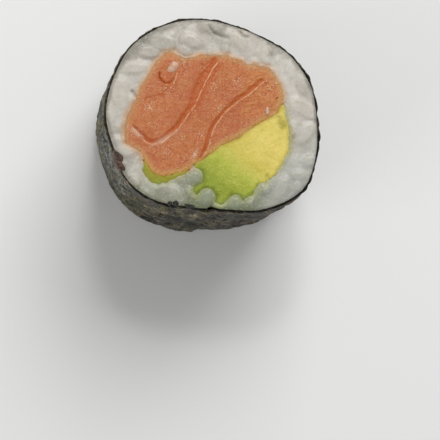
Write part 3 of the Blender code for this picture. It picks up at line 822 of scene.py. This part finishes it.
def packGrains(outer, fillings, top, up, rng):
    # grains laid into the rice at one end, long ones first, each clear of those beside it
    shape, shapeFaces = grainShape()
    room, reach = roomIn(outer, fillings)
    along = np.linspace(-1, 1, 5)[:, None]
    grains, tones, spines = [], [], []
    laid = np.empty((0, 2))
    for x, y, radius in rice["clearGrains"]:
        middle = (x, y, top - up * radius)
        grains.append(placedGrain(shape, middle, 2 * radius, 2 * radius, 0, 0, 1))
        tones.append(rice["clearTone"])
        spines.append(np.array([[x, y, top - up * radius * k] for k in (0, 0.5, 1, 1.5, 2)]))
        laid = np.vstack([laid, [[x, y]] * 5])
    for bed in rice["beds"]:
        taken = np.empty((0, 2))
        for attempt in range(bed["tries"]):
            size = rng.uniform(0.92, 1.06) * (1 - 0.5 * attempt / bed["tries"])
            upright = rng.random() < rice["endOn"]
            tilt = rng.uniform(0.7, 1.2) if upright else rng.gauss(0, 0.13)
            width = rice["grainWidth"] * min(1.0, size + 0.15) * rng.uniform(0.88, 1.05)
            spot = np.array([rng.uniform(-reach, reach), rng.uniform(-reach, reach)])
            if room(spot) < width * 0.2:
                continue
            yaw = rng.uniform(0, math.tau)
            half = max(rice["grainLength"] * size * abs(math.cos(tilt)) - width, 0.3) / 2
            body = spot + np.array([math.cos(yaw), math.sin(yaw)]) * along * half
            if room(body).min() < width * 0.2:
                continue
            if len(taken) and nearest(body, taken) < width * bed["apart"]:
                continue
            if len(laid) and nearest(body, laid) < width * bed["clear"]:
                continue
            taken = np.vstack([taken, body])
            lift = rng.uniform(*rice["unevenTop"]) - bed["below"]
            tall = rice["grainLength"] * size * math.sin(tilt) if upright else width
            z = top + up * (lift - tall / 2)
            grains.append(placedGrain(shape, (*spot, z), rice["grainLength"] * size, width,
                                      yaw, tilt * up))
            tones.append(rng.random())
            spines.append(np.column_stack([body, np.full(5, top + up * (lift - width / 2))]))
        laid = np.vstack([laid, taken])
    return grains, shapeFaces, tones, spines


def nearest(some, others):
    return np.linalg.norm(some[:, None] - others[None], axis=2).min()


def packedRice(outer, fillings, low, high, spacing, uneven=0.0):
    # a slab of packed rice between two heights, open where the fillings run
    flat, faces = cutFace(outer, spacing)
    faces = np.array(faces)
    middles = flat[faces].mean(1)
    kept = np.ones(len(faces), bool)
    for filling, under in zip(fillings, rice["underFilling"]):
        kept &= edgeDistance(middles, filling)[0] > -under
    faces = faces[kept]
    count = len(flat)
    rough = roughness(flat, 2.2, 9.0) * uneven
    points = np.vstack([np.column_stack([flat, high + rough]),
                        np.column_stack([flat, low + rough])])
    sides = np.vstack([faces[:, (0, 1)], faces[:, (1, 2)], faces[:, (2, 0)]])
    seen = {tuple(side) for side in sides}
    rim = np.array([(a, b) for a, b in sides if (b, a) not in seen])
    walls = np.column_stack([rim[:, 1], rim[:, 0], rim[:, 0] + count, rim[:, 1] + count])
    whole = faces.tolist() + (faces[:, ::-1] + count).tolist() + walls.tolist()
    return points, whole


def remeshed(points, faces, voxel, settle):
    # overlapping closed shapes joined into one skin, then eased
    mesh = bpy.data.meshes.new("joining")
    mesh.from_pydata(points.tolist(), [], faces)
    obj = addObject("joining", mesh)
    remesh = obj.modifiers.new("remesh", "REMESH")
    remesh.mode, remesh.voxel_size = "VOXEL", voxel
    smooth = obj.modifiers.new("smooth", "SMOOTH")
    smooth.factor, smooth.iterations = 0.5, settle
    done = bpy.data.meshes.new_from_object(
        obj.evaluated_get(bpy.context.evaluated_depsgraph_get()))
    found = np.empty(len(done.vertices) * 3)
    done.vertices.foreach_get("co", found)
    faces = [list(p.vertices) for p in done.polygons]
    bpy.data.objects.remove(obj)
    return found.reshape(-1, 3), faces


def nearCut(over):
    # 1 for grains at the cut and 0 for those well below it
    return step(over, -1.2, -0.8)


def makeRiceEnd(end, outer, fillings, finish):
    name = "rice_" + end
    rng = random.Random(rice["seeds"][end])
    up = 1 if end == "upper" else -1
    top = rollTop if end == "upper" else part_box("rice")[0].z / mm
    grains, grainFaces, tones, spines = packGrains(outer, fillings, top, up, rng)
    near, far = sorted((top - up * rice["pasteBelow"], top - up * rice["capDepth"]))
    points, faces = packedRice(grown(outer, rice["pasteGrow"]), fillings, near, far,
                               rice["pasteSpacing"], rice["pasteUneven"])
    stacks, start = [points], len(points)
    for grain in grains:
        stacks.append(grain)
        faces += [[start + i for i in f] for f in grainFaces]
        start += len(grain)
    points, faces = remeshed(np.vstack(stacks), faces, rice["voxel"], rice["settle"])

    flat, z = points[:, :2], points[:, 2]
    edge, closest = edgeDistance(flat, outer)
    beyond = edge > -0.02
    flat[beyond] = closest[beyond]
    over = (z - top) * up                                # the knife leaves the grains nearly level
    soft = rice["knifeSoft"]
    over = np.where(over > -soft, -soft + soft * np.tanh((over + soft) / soft), over)
    under = rice["under"]
    toFilling = []
    for filling in fillings:
        away, closest = edgeDistance(flat, filling)
        deep = away < -under
        inward = flat[deep] - closest[deep]
        flat[deep] = closest[deep] - inward / away[deep, None] * under
        toFilling.append(np.maximum(away, -under))
    ragged = rice["ragged"] * roughness(flat, 0.8, 12.0)
    for away, strip in zip(toFilling, (salmon, avocado, thinStrip)):
        # beside a filling the rice comes down to its height and dips under it
        meets = (1 - step(away + ragged, -0.05, 0.5)) * nearCut(over)
        level = swelling(flat) - strip["belowRice"] + 0.05 + 0.7 * np.minimum(away + ragged, 0)
        over = over * (1 - meets) + level * meets
    squeezed = (1 - step(toFilling[0], 0, 0.3)) * (1 - step(np.minimum(*toFilling[1:]), 0, 0.3))
    over -= rice["betweenFillings"] * squeezed
    crease = np.zeros(len(flat))
    for line in rice["creases"] if end == "upper" else ():
        away, share = besideCurve(flat, evenly(curved(line), 24))
        ends = step(share, 0, 0.25) * step(share, 1, 0.75)
        cracked = bell(away + 0.1 * roughness(flat, 0.6, 3.0), rice["creaseWidth"]) * ends
        crease = np.maximum(crease, cracked)
    over -= rice["creaseDepth"] * crease * nearCut(over)
    clear = np.zeros(len(flat))
    for x, y, radius in rice["clearGrains"] if end == "upper" else ():
        away = np.hypot(flat[:, 0] - x, flat[:, 1] - y) / radius
        dome = rice["clearDome"] * np.sqrt(np.clip(1 - away**2, 0, 1))
        over += (dome - 0.06 * bell(away - 1.1, 0.18)) * nearCut(over)
        clear = np.maximum(clear, 1 - step(away, 0.75, 1.1))
        # painted shade in a ring around each clear grain
        crease = np.maximum(crease, 0.15 * bell(away - 1.08, 0.16))
    rim = -edge
    z[:] = top + up * (over - np.where(over > -1.0, rounded(rim, rice), 0))

    finder = KDTree(5 * len(spines))                     # each spot takes the tone of its grain
    for k, spine in enumerate(spines):
        for j, spot in enumerate(spine):
            finder.insert(spot, 5 * k + j)
    finder.balance()
    tone = np.array([tones[finder.find(p)[1] // 5] for p in points])
    x, y = flat.T
    # painted light: the rice is paler on the right of the cut; painted shade: duller on its left
    tone = tone + 0.3 * step(x, *rice["litRightAcross"]) * step(y, *rice["litRightUp"])
    tone = tone - 0.2 * step(-x, *rice["shadedLeft"])
    turn = np.degrees(np.arctan2(y, x))
    # how much wider the painted rim shade is at each bearing
    wet = sum(bell(turn - at, wide) * amount for at, wide, amount in rice["widerRimShade"])
    # painted shade towards the lower edge of the cut
    shadeLow = step(y, *rice["lowerShadeUp"]) * step(x, *rice["lowerShadeAcross"])
    shadeLow *= 0.6 + 0.55 * step(x, *rice["lowerShadeMost"])
    # painted shade, greyer, over the lower right of the cut
    cool = step(y * 0.8 - x * 0.35, *rice["lowerRightShadeUp"]) * step(x, *rice["lowerRightShadeAcross"])
    piece = addPiece(name, points, faces, finish, "rice")
    setValues(piece, tone=tone, wet=wet, juice=shadeLow, cool=cool, clear=clear, crease=crease, rim=rim,
              sunk=np.clip(-over, 0, 3), toSalmon=toFilling[0],
              toAvocado=np.minimum(toFilling[1], toFilling[2] + 0.2), ripe=ripeness(flat))
    print(name, len(grains), "grains,", len(faces), "faces")


nori = {
    "thick": 0.27,
    "lapStart": math.radians(212), "lapEnd": math.radians(268),
    "lapGuard": math.radians(1.6),        # the CAD wrap isn't measured closer than this to its ends
    "underLap": 0.34,                     # how far in the sheet lies where its other end laps over it
    "around": 400, "along": 96,
    "dent": 0.60, "dentSize": 3.1,
    "crease": 0.34, "creaseSize": 2.3,
    "crinkle": 0.20, "crinkleSize": 1.0,
    "flare": 0.10, "flareDepth": 3.0,     # the wall stands this much further out than its cut edges
    "outMost": 0.18,
    "inMost": (0.14, 0.6),                # at the cut edges, and this much more along the wall
    "ragged": 0.22, "edgeWander": 0.20,
    "sheen": [                            # bearing, below the top, wide, tall, amount
        (206, 5, 9, 6, 1.0), (196, 13, 9, 8, 0.7), (217, 10, 6, 8, 0.9), (184, 6, 9, 6, 0.6)],
    "mossy": [
        (222, 22, 7, 9, 1.0), (178, 6, 5, 6, 0.8), (120, 20, 9, 6, 0.8), (20, 12, 9, 8, 0.8)],
}

noriLook = {
    "dark": (0.006, 0.005, 0.004),
    "green": (0.034, 0.035, 0.020),
    "grey": (0.105, 0.097, 0.073),
    "purple": (0.058, 0.039, 0.030),
    "ochre": (0.22, 0.125, 0.028),
    "rust": (0.13, 0.040, 0.010),
    "rim": (0.020, 0.014, 0.009),
    "fibre": (0.33, 0.31, 0.235),
    "moss": (0.085, 0.095, 0.022),
    "sheen": (0.52, 0.52, 0.46),
    "mottle": ((0.38, 0.37, 0.33), (2.4, 2.3, 2.0)),        # what darkens and what lightens the rest
    "ribs": ((0.36, 0.36, 0.33), (2.1, 2.1, 1.9)),
    "patches": ((0.40, 0.40, 0.37), (2.1, 2.05, 1.8)),
}


def noriFinish():
    look = Finish("toastedNori", noriLook, Specular_IOR_Level=0.30)
    broad = look.cloud(6.0, 4, 0.6, warp=0.6)
    look.colour = look.blend(look.rise(broad, 0.42, 0.58), noriLook["green"], noriLook["purple"])
    look.paint(look.rise(look.cloud(3.1, 4, 0.65), 0.45, 0.62), "grey")
    look.paint(look.rise(look.cloud(3.6, 3, 0.6), 0.54, 0.66) * 0.8, "moss")
    shadowy = look.rise(look.cloud(5.5, 5, 0.65, warp=0.8), 0.52, 0.38)
    look.paint(shadowy * 0.75, "dark")
    drawn = look.add("ShaderNodeVectorMath", {"operation": "MULTIPLY"},
                     {0: look.place, 1: (1, 1, 0.28)})       # stretched along the roll
    ribbed = look.rise(look.cloud(0.8, 4, 0.7, place=drawn, warp=0.4), 0.40, 0.60)
    mottled = look.rise(look.cloud(1.7, 4, 0.65, warp=0.7), 0.38, 0.62)
    patchy = look.rise(look.cloud(4.4, 4, 0.6, warp=1.2), 0.40, 0.60)
    uneven = ((0.9, mottled, "mottle"), (0.8, ribbed, "ribs"), (0.85, patchy, "patches"))
    for amount, spread, name in uneven:
        look.paint(amount, look.blend(spread, *noriLook[name]), "MULTIPLY")
    mossy = look.layer("mossy") * look.rise(look.cloud(1.8, 3), 0.38, 0.60)
    look.paint(mossy * 0.85, "moss")
    toEdge = look.layer("toEdge")
    ends = toEdge + (look.cloud(5.0, 3) - 0.5) * 9.0
    stained = look.rise(ends, 3.2, 0.4) * look.rise(toEdge, 0.2, 1.2)
    look.paint(stained * look.rise(look.cloud(2.8, 4, 0.6), 0.44, 0.62) * 0.8, "ochre")
    look.paint(look.rise(look.cloud(3.6, 4, 0.6, warp=1.0), 0.60, 0.72) * 0.75, "rust")
    strands = (look.lines(2.2, 0.03, warp=1.0) * 0.7 + look.lines(0.95, 0.045)
               + look.lines(0.55, 0.05) * 0.8 + look.lines(0.32, 0.06) * 0.5)
    cracks = look.lines(1.5, 0.018, warp=1.2) + look.lines(0.7, 0.03) * 0.7
    # painted shade: dark specks standing in for the shadows of small hollows in the sheet, which are
    # also dented
    shadedPits = (look.rise(look.cloud(0.6, 3, 0.7), 0.42, 0.32)
            + look.rise(look.cloud(1.7, 4, 0.75, warp=0.8), 0.36, 0.30)
            + look.rise(look.cloud(0.9, 3, 0.7, place=drawn), 0.36, 0.30))
    look.paint(strands * (0.42 - 0.22 * shadowy), "fibre")
    glossy = look.rise(look.cloud(0.9, 4, 0.7, place=drawn, warp=0.6), 0.46, 0.56)
    look.paint(look.layer("sheen") * glossy * 0.9, "sheen")
    look.paint(cracks * 0.75, "dark")
    # painted shade in the hollows, darkest inside the painted sheen
    look.paint(shadedPits * (0.75 + look.layer("sheen")), "dark")
    look.paint(look.rise(toEdge, 0.10, 0.0) * 0.7, "rim")
    height = strands * 0.5 - cracks * 0.6 - shadedPits + look.cloud(0.3, 3, 0.7) * 0.6 + ribbed * 0.7
    rough = look.bump(height, 0.20, 1.0, look.bump(look.cloud(1.5, 4, 0.65), 0.8, 1.0))
    look.feed(Base_Color=look.colour, Roughness=0.22 + 0.5 * look.cloud(1.4, 3), Normal=rough)
    return look


def noriShell(finish):
    # the sheet starts inside the lap, goes once round and ends on top of its own start
    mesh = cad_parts["nori"].data
    tree = BVHTree.FromPolygons([v.co / mm for v in mesh.vertices],
                                [p.vertices[:] for p in mesh.polygons])
    low, high = (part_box("nori")[k].z / mm for k in (0, 1))
    lap = nori["lapEnd"] - nori["lapStart"]
    turns = np.linspace(0, math.tau + lap, nori["around"] + 1)
    levels = np.linspace(0, 1, nori["along"] + 1)
    guard = nori["lapGuard"]
    outside = 30                                         # a start for rays, well off the roll

    def outwards(angle):
        return Vector((math.cos(angle), math.sin(angle), 0))

    def outerRadius(angle, z):
        aim = outwards(angle)
        hit = tree.ray_cast(aim * outside + Vector((0, 0, z)), -aim)[0]
        return math.hypot(hit.x, hit.y)

    def edgeHeight(angle, side):
        # the CAD wrap's own edge, found at the middle of its thickness
        middle = outerRadius(angle, high - 1.2 if side > 0 else low + 1.2) - 0.2
        start = outwards(angle) * middle + Vector((0, 0, 20 + side * outside))
        return tree.ray_cast(start, Vector((0, 0, -side)))[0].z

    coarse = np.linspace(low + 0.8, high - 0.8, 12)
    radius = np.empty((len(turns), len(levels)))
    bottom, crown = np.empty(len(turns)), np.empty(len(turns))
    for i, turn in enumerate(turns):
        angle = nori["lapStart"] + turn
        under = turn < lap + guard
        if under:
            probe = min(angle, nori["lapEnd"] - guard)
        else:
            probe = max(angle, nori["lapEnd"] + guard) if turn < math.pi else angle
            probe = min(probe, math.tau + nori["lapEnd"] - guard)
        tucked = nori["underLap"] if under and turn < lap else 0
        reach = [outerRadius(probe, z) - tucked for z in coarse]
        radius[i] = np.interp(levels * (high - low) + low, coarse, reach)
        bottom[i], crown[i] = edgeHeight(probe, -1), edgeHeight(probe, 1)
    for k in range(3):
        radius[1:-1] = (radius[:-2] + 2 * radius[1:-1] + radius[2:]) / 4

    fray = np.array([[noise.noise(Vector((t * 22, side * 5.0, 0.3))) for t in turns]
                     for side in (0, 1)]) * nori["ragged"]
    heights = (bottom + fray[0])[:, None] * (1 - levels) + (crown + fray[1])[:, None] * levels
    free = np.array([noise.noise(Vector((3.0, 8.0, z / 2.5))) for z in heights[-1]]) * 0.022
    angle = (nori["lapStart"] + turns)[:, None]
    angle = angle + free * np.linspace(0, 1, len(turns))[:, None] ** 30      # an uneven free end

    def sheetAt(reach):
        return np.stack([reach * np.cos(angle), reach * np.sin(angle), heights], axis=2)

    def wrinkles(size, seed, drawn=1):
        spots = sheetAt(radius).reshape(-1, 3) * (1, 1, drawn)
        return roughness(spots, size, seed).reshape(radius.shape)

    folds = 1 - np.abs(wrinkles(nori["creaseSize"], 5.0, 0.7)) * 3.2
    push = (nori["dent"] * wrinkles(nori["dentSize"], 2.0)
            - nori["crease"] * np.clip(folds, 0, 1) ** 2
            + nori["crinkle"] * wrinkles(nori["crinkleSize"], 9.0))
    depth = np.minimum(heights - bottom[:, None], crown[:, None] - heights)
    push = np.where(push > 0, nori["outMost"] * np.tanh(push / nori["outMost"]), push)
    push *= 0.15 + 0.85 * step(depth, 0.3, 2.2)
    push = np.maximum(push, -nori["inMost"][0] - nori["inMost"][1] * step(depth, 3.0, 4.6))
    push += nori["flare"] * step(depth, 0.0, nori["flareDepth"])
    wander = wrinkles(1.3, 31.0) + 0.5 * wrinkles(0.55, 17.0)
    push += nori["edgeWander"] * wander * (1 - step(depth, 0.2, 1.5))
    push *= 1 - np.clip((lap - turns) / 0.05, 0, 1)[:, None]     # smooth where it is lapped over
    points = np.stack([sheetAt(radius + push), sheetAt(radius + push - nori["thick"])])

    rows, columns = radius.shape
    out, back = np.arange(2 * rows * columns).reshape(2, rows, columns)
    walls = [np.stack([out[:-1, :-1], out[1:, :-1], out[1:, 1:], out[:-1, 1:]], 2).reshape(-1, 4),
             np.stack([back[:-1, 1:], back[1:, 1:], back[1:, :-1], back[:-1, :-1]], 2).reshape(-1, 4)]
    for k, first, second in ((0, out, back), (-1, back, out)):
        walls.append(np.stack([first[:-1, k], second[:-1, k], second[1:, k], first[1:, k]], 1))
        walls.append(np.stack([second[k, :-1], first[k, :-1], first[k, 1:], second[k, 1:]], 1))
    faces = np.vstack(walls).tolist()
    piece = addPiece("nori_wrap", points.reshape(-1, 3), faces, finish, "nori")
    bearing, below = np.degrees(angle), crown[:, None] - heights
    patches = {}
    for name in ("sheen", "mossy"):
        patches[name] = sum(
            bell((bearing - at + 180) % 360 - 180, wide) * bell(below - deep, tall) * amount
            for at, deep, wide, tall, amount in nori[name])
    setValues(piece, **{name: np.tile(found.ravel(), 2)
                        for name, found in {"toEdge": depth, **patches}.items()})
    print("nori wrap", len(faces), "faces")


# Small bits lying on the cut face: where, how big (long, wide, tall), turned how far, how rough.
scraps = [
    {"name": "stray_grain", "at": (-5.4, 6.6), "size": (1.9, 1.25, 0.6), "turn": 50,
     "above": 0.16, "rough": 0.14, "slot": "rice", "node": "salmon", "finish": "grain"},
    {"name": "rice_shred", "at": (7.75, 0.5), "size": (1.2, 0.5, 0.4), "turn": 97,
     "above": 0.16, "rough": 0.18, "slot": "rice", "node": "salmon", "finish": "grain"},
    {"name": "burnt_speck", "at": (9.15, 2.4), "size": (0.24, 0.18, 0.16), "turn": 20,
     "above": 0.07, "rough": 0.3, "slot": "seaweed", "node": "salmon", "finish": "black"},
    {"name": "nori_fold", "at": (-12.8, -6.6), "size": (4.0, 1.7, 2.8), "turn": -68,
     "above": 0.06, "rough": 0.30, "slot": "seaweed", "node": "nori", "finish": "brown"},
    {"name": "nori_crumb_a", "at": (-5.05, -12.35), "size": (1.05, 0.9, 0.8), "turn": 80,
     "above": 0.0, "rough": 0.18, "slot": "seaweed", "node": "nori", "finish": "black"},
    {"name": "nori_crumb_b", "at": (-5.95, -12.5), "size": (0.65, 0.5, 0.6), "turn": 60,
     "above": -0.08, "rough": 0.30, "slot": "seaweed", "node": "nori", "finish": "black"},
    {"name": "nori_crumb_c", "at": (-3.2, -12.9), "size": (1.3, 0.6, 0.7), "turn": -15,
     "above": -0.06, "rough": 0.35, "slot": "seaweed", "node": "nori", "finish": "black"},
]

looseLook = {                             # the two tones that each kind of scrap is mottled in
    "grain": ((0.64, 0.35, 0.22), (0.68, 0.49, 0.37)),
    "brown": ((0.014, 0.008, 0.006), (0.14, 0.062, 0.034)),
    "black": ((0.006, 0.006, 0.004), (0.026, 0.028, 0.016)),
}


def looseGrainFinish():
    look = Finish("looseGrain", Subsurface_Weight=0.6, Subsurface_Scale=0.7 * mm)
    colour = look.blend(look.rise(look.cloud(0.7, 3), 0.4, 0.62), *looseLook["grain"])
    look.feed(Base_Color=colour, Roughness=0.25 + 0.2 * look.cloud(0.5, 2),
              Normal=look.bump(look.cloud(0.3, 3, 0.6), 0.05, 0.7))
    return look


def wetNoriFinish(name, tint):
    look = Finish(name, Specular_IOR_Level=0.5)
    colour = look.blend(look.rise(look.cloud(0.5, 4, 0.7), 0.42, 0.60), *looseLook[tint])
    look.feed(Base_Color=colour, Roughness=0.28 + 0.3 * look.cloud(0.6, 2),
              Normal=look.bump(look.cloud(0.4, 4, 0.7), 0.20, 1.0))
    return look


def makeScraps():
    finishes = {"grain": looseGrainFinish(), "brown": wetNoriFinish("wetNoriFold", "brown"),
                "black": wetNoriFinish("wetNoriCrumb", "black")}
    shape, faces = grainShape(rings=26, sides=30)
    for k, scrap in enumerate(scraps):
        turn = np.array(Matrix.Rotation(math.radians(scrap["turn"]), 3, "Z"))
        points = shape * scrap["size"]
        wide = scrap["size"][1]
        bumps = roughness(points, 0.55 * wide, 3.0 * k) + 0.5 * roughness(points, 0.22 * wide, 5.0 * k)
        points = points * (1 + scrap["rough"] * bumps)[:, None]
        centre = (*scrap["at"], rollTop + scrap["above"] - scrap["size"][2] / 2)
        addPiece(scrap["name"], points @ turn.T + centre, faces, finishes[scrap["finish"]],
                 scrap["node"])


riceWhite = riceFinish()
salmonPink = salmonFinish()
avocadoFlesh = avocadoFinish()
noriSheet = noriFinish()

avocadoEnds = makeAvocado("avocado_strip", "avocado", avocadoFlesh, avocado)
sliverEnds = makeAvocado("avocado_thin_strip", "avocado_sliver", avocadoFlesh,
                         thinStrip)
salmonEnds = makeSalmon(salmonPink, avocadoEnds, sliverEnds)
print("fillings made")

for end, side in (("upper", -1), ("lower", 0)):
    height = rollTop - rice["edgeLevel"] if end == "upper" else rice["edgeLevel"]
    outer = sectionCurve("nori", height, rice["around"], -rice["insideNori"])
    past = (np.arctan2(outer[:, 1], outer[:, 0]) - nori["lapEnd"] + math.pi) % math.tau - math.pi
    outer *= 1 - rice["lapStep"] * bell(past, 0.06)[:, None]
    makeRiceEnd(end, outer, [salmonEnds[side], avocadoEnds[side], sliverEnds[side]], riceWhite)

coreOuter = sectionCurve("rice", rollTop / 2, rice["coreAround"])
corePoints, coreFaces = packedRice(coreOuter, [], rice["coreInset"], rollTop - rice["coreInset"],
                                   rice["coreSpacing"])
addPiece("rice_core", corePoints, coreFaces, riceWhite, "rice")
print("rice made")

noriShell(noriSheet)
makeScraps()
print("scraps laid")

studio = {
    "floor": (0.93, 0.93, 0.925),
    "floorHalf": 1.5,
    "sky": 0.30,
    "aim": (0, 0, 0.02),
    "lights": [                           # name, place, size and power, in metres and watts
        ("keyLight", (0.11, 0.30, 0.42), 0.30, 1.5),
        ("glintLight", (0.0, 0.22, 0.50), 0.06, 0.30),
        ("fillLight", (-0.44, -0.20, 0.16), 0.30, 0.85)],
}


def addLight(name, place, size, power):
    lamp = bpy.data.lights.new(name, "AREA")
    lamp.size, lamp.energy = size, power
    obj = addObject(name, lamp)
    obj.location = place
    aim = Vector(studio["aim"]) - Vector(place)
    obj.rotation_euler = aim.to_track_quat("-Z", "Y").to_euler()


def setStudio():
    mesh = bpy.data.meshes.new("floor")
    half = studio["floorHalf"]
    mesh.from_pydata([(-half, -half, 0), (half, -half, 0), (half, half, 0), (-half, half, 0)], [],
                     [(0, 1, 2, 3)])
    floor = addObject("floor", mesh)
    paper = Finish("palePaper", Roughness=0.7)
    paper.feed(Base_Color=(*studio["floor"], 1))
    mesh.materials.append(paper.material)
    world = bpy.data.worlds.new("softRoom")
    world.use_nodes = True
    background = world.node_tree.nodes["Background"]
    background.inputs["Color"].default_value = (1, 1, 1, 1)
    background.inputs["Strength"].default_value = studio["sky"]
    bpy.context.scene.world = world
    for light in studio["lights"]:
        addLight(*light)
    bpy.context.scene.view_settings.view_transform = "Standard"


lens = {
    "distance": 425.0,                    # from the cut face, in millimetres
    "tilt": math.radians(6.4),            # off the roll's own axis
    "towards": math.radians(222.5),
    "frame": 440, "sensor": 36.0,
    "face": (212.2, 114.2),               # where the middle of the cut face falls in the frame
    "scale": 7.16,                        # frame pixels to a millimetre at the cut face
}


def setCamera():
    axis = Vector((-math.sin(lens["towards"]), math.cos(lens["towards"]), 0))
    turn = Matrix.Rotation(lens["tilt"], 4, axis)
    right, up, back = (turn.to_3x3() @ Vector(v) for v in ((1, 0, 0), (0, 1, 0), (0, 0, 1)))
    half = lens["frame"] / 2
    across = (lens["face"][0] - half) / lens["scale"]
    above = (half - lens["face"][1]) / lens["scale"]
    face = Vector((0, 0, rollTop))
    place = face - right * across - up * above + back * lens["distance"]
    camera = addObject("camera", bpy.data.cameras.new("camera"))
    camera.matrix_world = Matrix.Translation(place * mm) @ turn
    camera.data.sensor_width = lens["sensor"]
    camera.data.lens = lens["scale"] * lens["distance"] / lens["frame"] * lens["sensor"]
    camera.data.clip_start, camera.data.clip_end = 0.01, 10
    bpy.context.scene.camera = camera


setStudio()
setCamera()
print("light and camera set")
